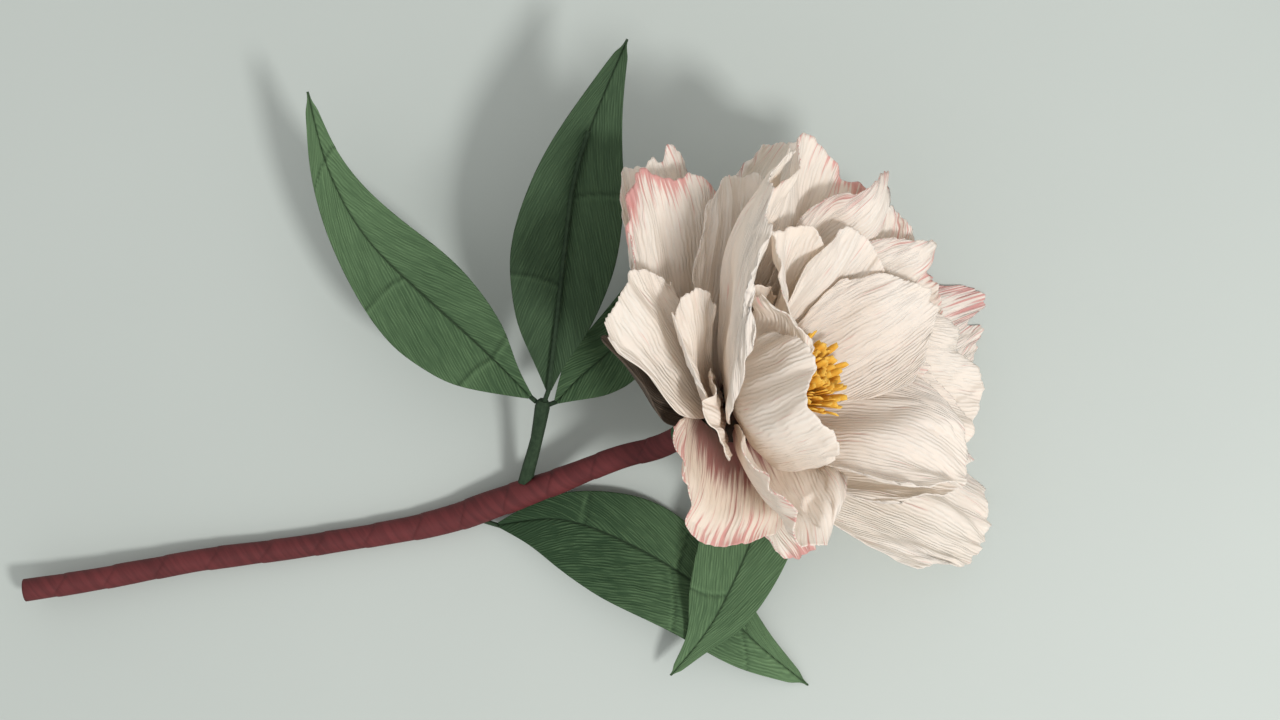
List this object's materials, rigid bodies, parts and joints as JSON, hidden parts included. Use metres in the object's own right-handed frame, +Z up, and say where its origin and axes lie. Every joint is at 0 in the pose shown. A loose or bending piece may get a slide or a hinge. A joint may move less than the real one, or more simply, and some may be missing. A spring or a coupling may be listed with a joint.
{
  "type": "crepe paper peony",
  "caption": "Handmade crepe paper peony on a wrapped wire stem with leaves, lying on its side; a decorative flower.",
  "frame": {"origin": "middle of the footprint, on the table that the flower lies on", "axes": "+X along the stem towards the bloom, +Z up from the table, +Y to the side that the upper leaves lie on"},
  "size_m": [0.2904, 0.1868, 0.1026],
  "materials": {
    "blush_crepe": "matt crepe paper, pale blush with pink rims",
    "olive_crepe": "matt crepe paper, olive brown",
    "green_tape": "wound paper tape, matt green",
    "yellow_crepe": "matt crepe paper, amber yellow",
    "burgundy_crepe": "matt crepe paper wrap, burgundy",
    "florist_wire": "plain steel wire",
    "green_crepe": "matt crepe paper, dark leaf green"
  },
  "bodies": {
    "root": {"calyx": "green_crepe", "guard_petal_bottom": "blush_crepe", "guard_petal_left": "blush_crepe", "guard_petal_lower_left": "blush_crepe", "guard_petal_lower_right": "blush_crepe", "guard_petal_right": "blush_crepe", "guard_petal_top": "blush_crepe", "guard_petal_top_right": "blush_crepe", "guard_petal_under": "blush_crepe", "guard_petal_upper_left": "blush_crepe", "inner_petal_far": "blush_crepe", "inner_petal_front": "blush_crepe", "inner_petal_front_left": "blush_crepe", "inner_petal_lower": "blush_crepe", "inner_petal_right": "blush_crepe", "inner_petal_top": "blush_crepe", "inner_petal_top_right": "blush_crepe", "leaf_left": "green_crepe", "leaf_left_rib": "green_crepe", "leaf_low": "green_crepe", "leaf_low_rib": "green_crepe", "leaf_middle": "green_crepe", "leaf_middle_rib": "green_crepe", "leaf_right": "green_crepe", "leaf_right_rib": "green_crepe", "leaf_stalk": "green_crepe", "leaf_twisted": "green_crepe", "leaf_twisted_rib": "green_crepe", "outer_petal_far": "blush_crepe", "outer_petal_left": "blush_crepe", "outer_petal_lower": "blush_crepe", "outer_petal_lower_right": "blush_crepe", "outer_petal_narrow": "blush_crepe", "outer_petal_right": "blush_crepe", "outer_petal_short": "blush_crepe", "outer_petal_top": "blush_crepe", "outer_petal_top_right": "blush_crepe", "outer_petal_upper": "blush_crepe", "petal_core": "green_tape", "sepal_long": "olive_crepe", "sepal_low": "olive_crepe", "sepal_right": "olive_crepe", "sepal_top": "olive_crepe", "stamens": "yellow_crepe", "stem_sleeve": "burgundy_crepe", "stem_wire": "florist_wire"}
  },
  "joints": []
}
